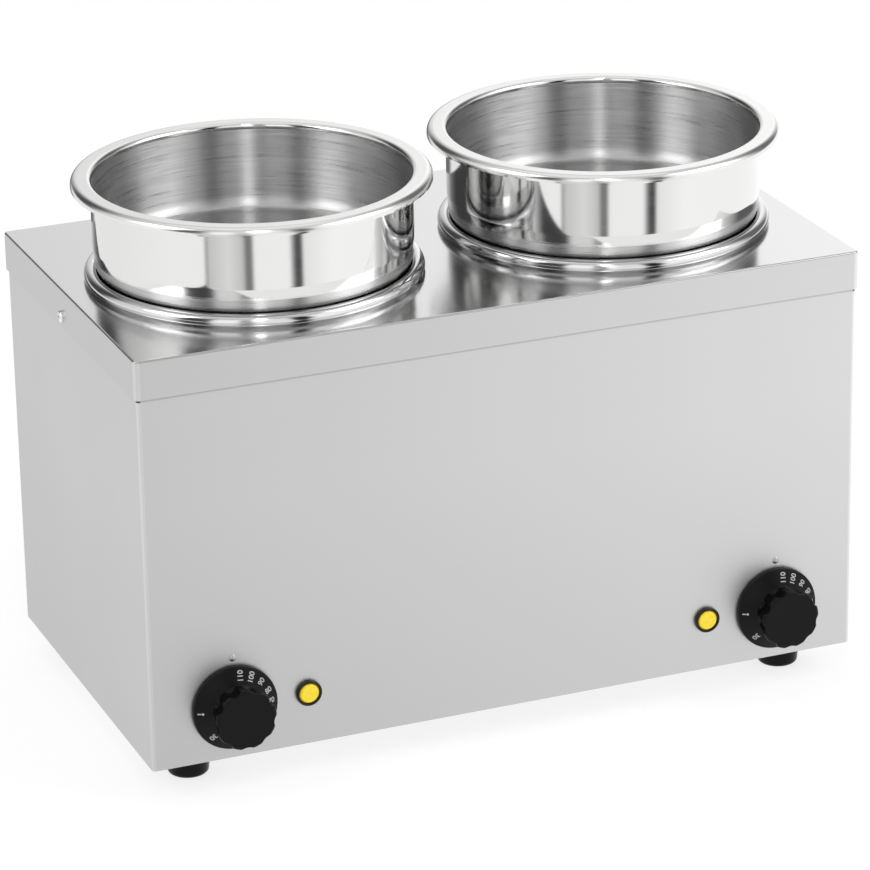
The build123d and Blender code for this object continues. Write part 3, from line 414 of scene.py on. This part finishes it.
def round_steel(name, tone, roughness, centre_x, centre_y, rings, swirl, streak=0.0):
    """Spun or buffed steel with fine lines that run round an upright axis.

    With rho and a the polar place about the axis, noise is read at (rho, z) * rings and
    a * swirl, so its lines follow the circles; roughness, tone and bump come from it.
    """
    material, tree = new_material(name)
    spot = node(tree, "ShaderNodeTexCoord").outputs["Object"]
    centred = node(tree, "ShaderNodeMapping",
                   {"Vector": spot, "Location": (-centre_x, -centre_y, 0)})
    part = node(tree, "ShaderNodeSeparateXYZ", {0: centred.outputs[0]})
    level = node(tree, "ShaderNodeCombineXYZ", {0: part.outputs[0], 1: part.outputs[1]})
    rho = node(tree, "ShaderNodeVectorMath", {0: level.outputs[0]}, operation="LENGTH")
    way = node(tree, "ShaderNodeVectorMath", {0: level.outputs[0]}, operation="NORMALIZE")
    way_parts = node(tree, "ShaderNodeSeparateXYZ", {0: way.outputs[0]})
    along = node(tree, "ShaderNodeMath", {0: rho.outputs["Value"], 1: part.outputs[2]},
                 operation="ADD")
    lines = node(tree, "ShaderNodeMath", {0: along.outputs[0], 1: rings}, operation="MULTIPLY")
    around_x = node(tree, "ShaderNodeMath", {0: way_parts.outputs[0], 1: swirl},
                    operation="MULTIPLY")
    around_y = node(tree, "ShaderNodeMath", {0: way_parts.outputs[1], 1: swirl},
                    operation="MULTIPLY")
    field = node(tree, "ShaderNodeCombineXYZ", {0: around_x.outputs[0], 1: around_y.outputs[0],
                                                2: lines.outputs[0]})
    fine = node(tree, "ShaderNodeTexNoise", {"Vector": field.outputs[0], "Scale": 1.0,
                                             "Detail": 3.0, "Roughness": 0.65})
    rough = node(tree, "ShaderNodeMapRange", {0: fine.outputs[0], 1: 0.3, 2: 0.7,
                                              3: roughness * 0.75, 4: roughness * 1.25})
    bump = node(tree, "ShaderNodeBump", {"Height": fine.outputs[0], "Strength": 0.3 * streak,
                                         "Distance": 0.0004})
    steel = node(tree, "ShaderNodeBsdfPrincipled",
                 {"Base Color": (tone, tone, tone * 0.992, 1), "Metallic": 1.0,
                  "Roughness": rough.outputs[0]})
    if streak:
        shade = ramp(tree, fine.outputs[0], 0.3, 0.7, tone * (1 - 0.12 * streak),
                     tone * (1 + 0.12 * streak))
        tree.links.new(shade, steel.inputs["Base Color"])
        tree.links.new(bump.outputs[0], steel.inputs["Normal"])
        back_y = node(tree, "ShaderNodeMath", {0: way_parts.outputs[1], 1: -1.0},
                      operation="MULTIPLY")
        around = node(tree, "ShaderNodeCombineXYZ",
                      {0: back_y.outputs[0], 1: way_parts.outputs[0]})
        steel.inputs["Anisotropic"].default_value = 1.0
        steel.inputs["Anisotropic Rotation"].default_value = 0.25
        tree.links.new(around.outputs[0], steel.inputs["Tangent"])
    tree.links.new(steel.outputs[0], tree.nodes["Material Output"].inputs["Surface"])
    return material


bead_foot = 0.0022
bead_steel = brushed_steel("bead_steel", 0.66, 0.11, (60.0, 60.0, 600.0), 0.015, 0.015)
for side, sign in (("left", -1), ("right", 1)):
    outline = rounded_outline([
        (0, -well_depth, 0),
        (bead_mouth, -well_depth, well_corner),
        (bead_mouth, bead_height, bead_round),
        (bead_outer, bead_height, bead_round),
        (bead_outer, bead_foot, bead_foot / 2),
        (bead_outer - bead_foot, 0, 0),
        (bead_outer - bead_foot - sheet, 0, 0),
        (bead_outer - sheet, bead_foot, 0),
        (bead_outer - sheet, bead_height - sheet, bead_round - sheet),
        (bead_mouth + sheet, bead_height - sheet, bead_round - sheet),
        (bead_mouth + sheet, -well_depth - sheet, well_corner + sheet),
        (0, -well_depth - sheet, 0),
    ])
    piece = turned_surface(side + "_well_tank", outline,
                           (sign * well_spacing / 2, well_y, cover_top), (0, 0, 1), bead_steel)
    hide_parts(side + "_well")
    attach(piece, "casing")

# Pots: round pans that stand in the beads, spun from thick bright steel with a rolled rim,
# polished outside, brushed round inside, and satin on the rim and the foot.
pot_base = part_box("left_pot")[0][2]
pot_depth = 0.0662
pot_wall = 0.1046
pot_corner = 0.012
pot_floor = 0.007
pot_floor_corner = 0.010
rim_outer = 0.1172
rim_drop = 0.0055
lip_round = 0.0045
roll_round = 0.002
under_round = 0.0035
pot_taper = 0.0007
pot_taper_start = 0.0135
pot_taper_end = 0.0215
taper_round = 0.006
for side, sign in (("left", -1), ("right", 1)):
    x = sign * well_spacing / 2
    outside = round_steel(side + "_pot_outside", 0.70, 0.08, x, well_y, 900.0, 3.0)
    inside = round_steel(side + "_pot_inside", 0.58, 0.33, x, well_y, 700.0, 2.0, 1.0)
    # The floor is the inside's spun steel in a darker tone, a painted shade; its lower roughness
    # is its own finish.
    shaded_floor_steel = round_steel(side + "_pot_floor", 0.47, 0.2, x, well_y, 700.0, 2.0, 1.0)
    rim_steel = round_steel(side + "_pot_rim", 0.73, 0.2, x, well_y, 900.0, 3.0)
    inner = pot_wall - sheet
    outline = rounded_outline([
        (0, 0, 0),
        (pot_wall - pot_taper, 0, pot_corner),
        (pot_wall - pot_taper, pot_taper_start, taper_round),
        (pot_wall, pot_taper_end, taper_round),
        (pot_wall, pot_depth - sheet, under_round),
        (rim_outer - sheet, pot_depth - sheet, lip_round - sheet),
        (rim_outer - sheet, pot_depth - rim_drop, 0),
        (rim_outer, pot_depth - rim_drop, 0),
        (rim_outer, pot_depth, lip_round),
        (inner, pot_depth, roll_round + sheet),
        (inner, pot_floor, pot_floor_corner),
        (0, pot_floor, 0),
    ])
    piece = turned_surface(side + "_pot_pan", outline, (x, well_y, pot_base), (0, 0, 1), outside)
    for finish in (inside, shaded_floor_steel, rim_steel):
        piece.data.materials.append(finish)
    centres = np.zeros(len(piece.data.polygons) * 3)
    piece.data.polygons.foreach_get("center", centres)
    centres = centres.reshape(-1, 3)
    rho = np.hypot(centres[:, 0] - x, centres[:, 1] - well_y)
    height = centres[:, 2] - pot_base
    is_inside = ((rho < inner + 0.0004) & (height > pot_floor - 0.0005)
                 & (height < pot_depth - 0.004))
    is_floor = is_inside & (height < pot_floor + 0.002)
    is_rim = (rho > pot_wall + 0.00005) & (height > pot_depth - sheet - under_round)
    is_foot = ~is_inside & (height < pot_taper_start + 0.002) & (rho > 0.03)
    finish = is_inside.astype(np.int32) + is_floor + 3 * (is_rim | is_foot)
    piece.data.polygons.foreach_set("material_index", finish.astype(np.int32))
    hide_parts(side + "_pot")
    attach(piece, side + "_pot")

# Knobs: moulded black plastic, a nine-lobed grip on a coned skirt with the temperatures
# printed in white along its radius, and a dot and dash for off.
knob_x = 0.1925
panel_y = -0.134125
control_z = 0.058
knob_front = 0.02525
skirt_radius = 0.0286
skirt_back = 0.0008
skirt_edge = 0.0035
neck_radius = 0.0175
neck_height = 0.0085
tip_radius = 0.0212
tip_round = 0.002
lobes = 9
flute_place = 0.0201
flute_radius = 0.005
marks = [("110", 7), ("100", 26), ("90", 46), ("80", 66), ("70", 85), ("60", 105), ("50", 135),
         ("40", 175), ("30", 225)]
off_mark_angle = 272
digit_size = 0.0052
digit_place = 0.0066
dot_place = 0.0062
dot_radius = 0.00085
dash_ends = (0.0073, 0.0098)
dash_half = 0.0004
ink_lift = 0.00006


def satin_plastic(name, tone, roughness, grain=2500.0, coat=0.0, gloss=0.5):
    """Moulded plastic: a fine spark-eroded grain in the bump and a cloudy roughness."""
    material, tree = new_material(name)
    spot = node(tree, "ShaderNodeTexCoord").outputs["Object"]
    fine = node(tree, "ShaderNodeTexNoise", {"Vector": spot, "Scale": grain, "Detail": 2.0})
    cloud = node(tree, "ShaderNodeTexNoise", {"Vector": spot, "Scale": 120.0, "Detail": 3.0})
    rough = node(tree, "ShaderNodeMapRange", {0: cloud.outputs[0], 1: 0.3, 2: 0.7,
                                              3: roughness - 0.06, 4: roughness + 0.06})
    bump = node(tree, "ShaderNodeBump", {"Height": fine.outputs[0], "Strength": 0.25,
                                         "Distance": 0.00015})
    plastic = node(tree, "ShaderNodeBsdfPrincipled",
                   {"Base Color": (tone[0], tone[1], tone[2], 1), "Roughness": rough.outputs[0],
                    "Normal": bump.outputs[0], "Coat Weight": coat,
                    "Specular IOR Level": gloss})
    tree.links.new(plastic.outputs[0], tree.nodes["Material Output"].inputs["Surface"])
    return material


def fluted_reach(r, h, a):
    """The grip's radius: r(h), less the flutes.

    Nearest flute at angle d: its circle of radius q about p(h), which leans out with the
    grip, cuts it back to p cos d - sqrt(q^2 - p^2 sin^2 d), eased in over the first 2.5 mm.
    """
    pitch = 2 * pi / lobes
    start = pi / 2 + pitch / 2
    d = (a - start + pitch / 2) % pitch - pitch / 2
    lean = (tip_radius - neck_radius) / (knob_front - neck_height)
    place = flute_place + lean * np.maximum(h - neck_height, 0)
    inside = flute_radius ** 2 - (place * np.sin(d)) ** 2
    cut = place * np.cos(d) - np.sqrt(np.maximum(inside, 0))
    cut = np.where(inside > 0, cut, 1.0)
    soft = 0.0005
    smooth = -soft * np.log(np.exp(-np.minimum(cut, r + 0.01) / soft) + np.exp(-r / soft))
    ease = np.clip((h - neck_height - 0.0002) / 0.0025, 0, 1)
    ease = ease * ease * (3 - 2 * ease)
    grip = (h > neck_height + 0.0001) & (r > 0.010)
    return np.where(grip, r + (np.minimum(smooth, r) - r) * ease, r)


def on_skirt(along, across, angle, lift):
    """A point of the printed skirt, from its place on a mark that runs out along a radius.

    s = along is the way down the cone from its top edge, and across / r its turn from the
    mark's angle, measured clockwise from twelve o'clock as seen from the front.
    """
    run = np.array((skirt_radius - neck_radius, skirt_edge - neck_height))
    slope = run / np.linalg.norm(run)
    normal = np.array((-slope[1], slope[0]))
    r = neck_radius + along * slope[0] + lift * normal[0]
    h = neck_height + along * slope[1] + lift * normal[1]
    turn = radians(angle) - across / r
    return np.stack([r * np.sin(turn), -h, r * np.cos(turn)], -1)


def printed_mark(name, text, angle, centre, material):
    """A number printed on the skirt: flat text bent over the cone by on_skirt."""
    curve = bpy.data.curves.new(name, "FONT")
    curve.body = text
    curve.size = digit_size
    curve.align_x = "CENTER"
    curve.align_y = "CENTER"
    curve.space_character = 0.98
    curve.offset = 0.0001
    flat_text = bpy.data.objects.new(name, curve)
    mesh = bpy.data.meshes.new_from_object(flat_text)
    flat = np.zeros(len(mesh.vertices) * 3)
    mesh.vertices.foreach_get("co", flat)
    flat = flat.reshape(-1, 3)
    middle = (flat[:, 0].max() + flat[:, 0].min()) / 2
    rise = (flat[:, 1].max() + flat[:, 1].min()) / 2
    points = centre + on_skirt(flat[:, 0] - middle + digit_place, flat[:, 1] - rise, angle,
                               ink_lift)
    faces = [tuple(face.vertices) for face in mesh.polygons]
    bpy.data.objects.remove(flat_text)
    return link_mesh(name, points, faces, material)


knob_black = satin_plastic("knob_black", (0.004, 0.004, 0.0045), 0.34, gloss=0.14)
dial_white, tree = new_material("dial_white")
spot = node(tree, "ShaderNodeTexCoord").outputs["Object"]
thin = node(tree, "ShaderNodeTexNoise", {"Vector": spot, "Scale": 2600.0, "Detail": 2.0})
ink = node(tree, "ShaderNodeBsdfPrincipled",
           {"Base Color": ramp(tree, thin.outputs[0], 0.3, 0.7, 0.45, 0.66), "Roughness": 0.5})
tree.links.new(ink.outputs[0], tree.nodes["Material Output"].inputs["Surface"])
for side, sign in (("left", -1), ("right", 1)):
    centre = np.array((sign * knob_x, panel_y, control_z))
    outline = rounded_outline([
        (0, skirt_back, 0),
        (skirt_radius, skirt_back, 0.0003),
        (skirt_radius, skirt_edge, 0.0008),
        (neck_radius, neck_height, 0.0006),
        (neck_radius, neck_height + 0.003, 0),
        (tip_radius, knob_front, tip_round),
        (0, knob_front - 0.0002, 0),
    ])
    piece = turned_surface(side + "_knob_moulding", outline, centre, (0, -1, 0), knob_black, 360,
                           fluted_reach)
    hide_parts(side + "_knob")
    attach(piece, side + "_knob")
    for text, angle in marks:
        printed = printed_mark(side + "_mark_" + text, text, angle, centre, dial_white)
        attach(printed, side + "_knob")
    t = np.linspace(0, 2 * pi, 24, endpoint=False)
    dot = centre + on_skirt(dot_place + dot_radius * np.cos(t), dot_radius * np.sin(t),
                            off_mark_angle, ink_lift)
    printed = link_mesh(side + "_off_dot", dot, [tuple(range(24))], dial_white)
    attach(printed, side + "_knob")
    dash = centre + on_skirt(np.repeat(dash_ends, 2)[[0, 2, 3, 1]],
                             dash_half * np.array((-1, -1, 1, 1)), off_mark_angle, ink_lift)
    printed = link_mesh(side + "_off_dash", dash, [(0, 1, 2, 3)], dial_white)
    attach(printed, side + "_knob")
    dress(side + "_thermostat_shaft", brushed_steel(side + "_shaft_steel", 0.6, 0.3,
                                                    (400.0, 20.0, 400.0)))

# Index marks: a small plain steel stud with a domed head, pressed into the panel above
# each knob to point at its numbers.
mark_rise = 0.0337
mark_radius = 0.0024
mark_height = 0.0010
stud_steel = brushed_steel("stud_steel", 0.45, 0.3, (300.0, 300.0, 300.0))
for side, sign in (("left", -1), ("right", 1)):
    lift = np.linspace(0, 1, 9)
    outline = np.stack([mark_radius * np.sqrt(1 - lift ** 2), mark_height * lift], 1)
    centre = (sign * knob_x, panel_y, control_z + mark_rise)
    piece = turned_surface(side + "_index_mark", np.concatenate([[(0, 0)], outline]), centre,
                           (0, -1, 0), stud_steel, 48)
    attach(piece, "casing")

# Pilot lamps: a black housing clipped in the front, with a clear yellow lens set a little
# inside its rim and finely ribbed behind so that it scatters the light.
lamp_x = 0.1417
bezel_radius = 0.00875
bezel_reach = 0.003
bezel_recess = 0.0010
bezel_lip = 0.0004
barrel_radius = 0.0074
barrel_length = 0.0238
lens_radius = 0.0067
lens_depth = 0.012
lens_slack = 0.00002

bezel_black = satin_plastic("bezel_black", (0.016, 0.011, 0.006), 0.3, 1500.0, 0.0, 0.25)
lens_yellow, tree = new_material("lens_yellow")
spot = node(tree, "ShaderNodeTexCoord").outputs["Object"]
cells = node(tree, "ShaderNodeTexVoronoi", {"Vector": spot, "Scale": 700.0})
bump = node(tree, "ShaderNodeBump", {"Height": cells.outputs["Distance"], "Strength": 0.35,
                                     "Distance": 0.0004})
tint = node(tree, "ShaderNodeMapRange", {0: cells.outputs["Distance"], 1: 0.0, 2: 0.8,
                                         3: 0.0, 4: 1.0})
amber = node(tree, "ShaderNodeMix", data_type="RGBA")
amber.inputs[6].default_value = (1.0, 0.83, 0.02, 1)
amber.inputs[7].default_value = (0.93, 0.66, 0.0, 1)
tree.links.new(tint.outputs[0], amber.inputs[0])
lens = node(tree, "ShaderNodeBsdfPrincipled",
            {"Base Color": amber.outputs[2], "Roughness": 0.22, "Normal": bump.outputs[0],
             "Emission Color": (1.0, 0.78, 0.0, 1), "Emission Strength": 0.18,
             "Coat Weight": 0.5, "Coat Roughness": 0.05})
tree.links.new(lens.outputs[0], tree.nodes["Material Output"].inputs["Surface"])
for side, sign in (("left", -1), ("right", 1)):
    centre = (sign * lamp_x, panel_y, control_z)
    outline = rounded_outline([
        (0, -barrel_length, 0),
        (barrel_radius, -barrel_length, 0.001),
        (barrel_radius, 0, 0),
        (bezel_radius, 0, 0),
        (bezel_radius, bezel_reach, 0.0011),
        (lens_radius + bezel_lip, bezel_reach, 0.0004),
        (lens_radius + bezel_lip, bezel_reach - bezel_recess, 0),
        (lens_radius, bezel_reach - bezel_recess, 0),
        (lens_radius, bezel_reach - lens_depth, 0),
        (0, bezel_reach - lens_depth, 0),
    ])
    piece = turned_surface(side + "_lamp_housing", outline, centre, (0, -1, 0), bezel_black, 96)
    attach(piece, "casing")
    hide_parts(side + "_pilot_bezel")
    outline = rounded_outline([
        (0, bezel_reach - lens_depth + 0.0001, 0),
        (lens_radius - lens_slack, bezel_reach - lens_depth + 0.0001, 0),
        (lens_radius - lens_slack, bezel_reach - bezel_recess, 0.0002),
        (lens_radius - 0.001, bezel_reach - bezel_recess + 0.001, 0.0015),
        (0, bezel_reach - bezel_recess + 0.001, 0),
    ])
    piece = turned_surface(side + "_lamp_lens", outline, centre, (0, -1, 0), lens_yellow, 96)
    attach(piece, "casing")
    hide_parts(side + "_pilot_lens")

# Feet: black rubber, moulded with a small taper and a rounded lower edge, each held by a
# screw up its middle.
foot_rubber = satin_plastic("foot_rubber", (0.003, 0.003, 0.003), 0.25, 900.0, gloss=0.12)
for name in ("front_left_foot", "front_right_foot", "rear_left_foot", "rear_right_foot"):
    dress(name, foot_rubber)

# Screws, nuts and the small steel parts: zinc plated, bright but not polished.
plated_steel = brushed_steel("plated_steel", 0.8, 0.2, (300.0, 300.0, 300.0), 0.05, 0.04)
for name in ("thermostat_screws", "clamp_studs", "clamp_nuts", "foot_screws", "foot_nuts",
             "cover_side_screws", "cover_screw_nuts", "rear_panel_screws", "base_plate_screws",
             "terminal_block_screws", "earth_stud", "earth_nut", "left_element_clamp",
             "right_element_clamp", "bulb_pockets"):
    dress(name, plated_steel)

# Cable gland: a black nylon gland with its domed nut, and a rubber ring that grips the cord.
gland_nylon = satin_plastic("gland_nylon", (0.02, 0.02, 0.021), 0.36, 1200.0)
for name in ("cable_gland_body", "cable_gland_nut", "cable_gland_locknut", "pilot_lamp_nuts"):
    dress(name, gland_nylon)
dress("cable_gland_seal", satin_plastic("seal_rubber", (0.03, 0.03, 0.03), 0.6, 900.0))

# Electrical parts inside: switch bodies of grey phenolic, an off-white terminal block,
# silicone-covered leads, bare copper capillaries and heat-stained element tubes.
switch_grey = satin_plastic("switch_grey", (0.28, 0.28, 0.29), 0.5)
block_white = satin_plastic("block_white", (0.78, 0.76, 0.7), 0.45)
lead_dark = satin_plastic("lead_dark", (0.09, 0.03, 0.02), 0.5, 800.0)
lead_green = satin_plastic("lead_green", (0.12, 0.32, 0.05), 0.5, 800.0)
copper_bare = brushed_steel("copper_bare", 0.7, 0.3, (300.0, 300.0, 300.0))
element_tube = brushed_steel("element_tube", 0.4, 0.45, (200.0, 200.0, 200.0), 0.06, 0.06)
dress("terminal_block", block_white)
dress("earth_lead", lead_green)
for side in ("left", "right"):
    dress(side + "_thermostat", switch_grey)
    dress(side + "_overheat_cutout", switch_grey)
    dress(side + "_wiring", lead_dark)
    dress(side + "_bulb_and_capillary", copper_bare)
    dress(side + "_heating_element", element_tube)
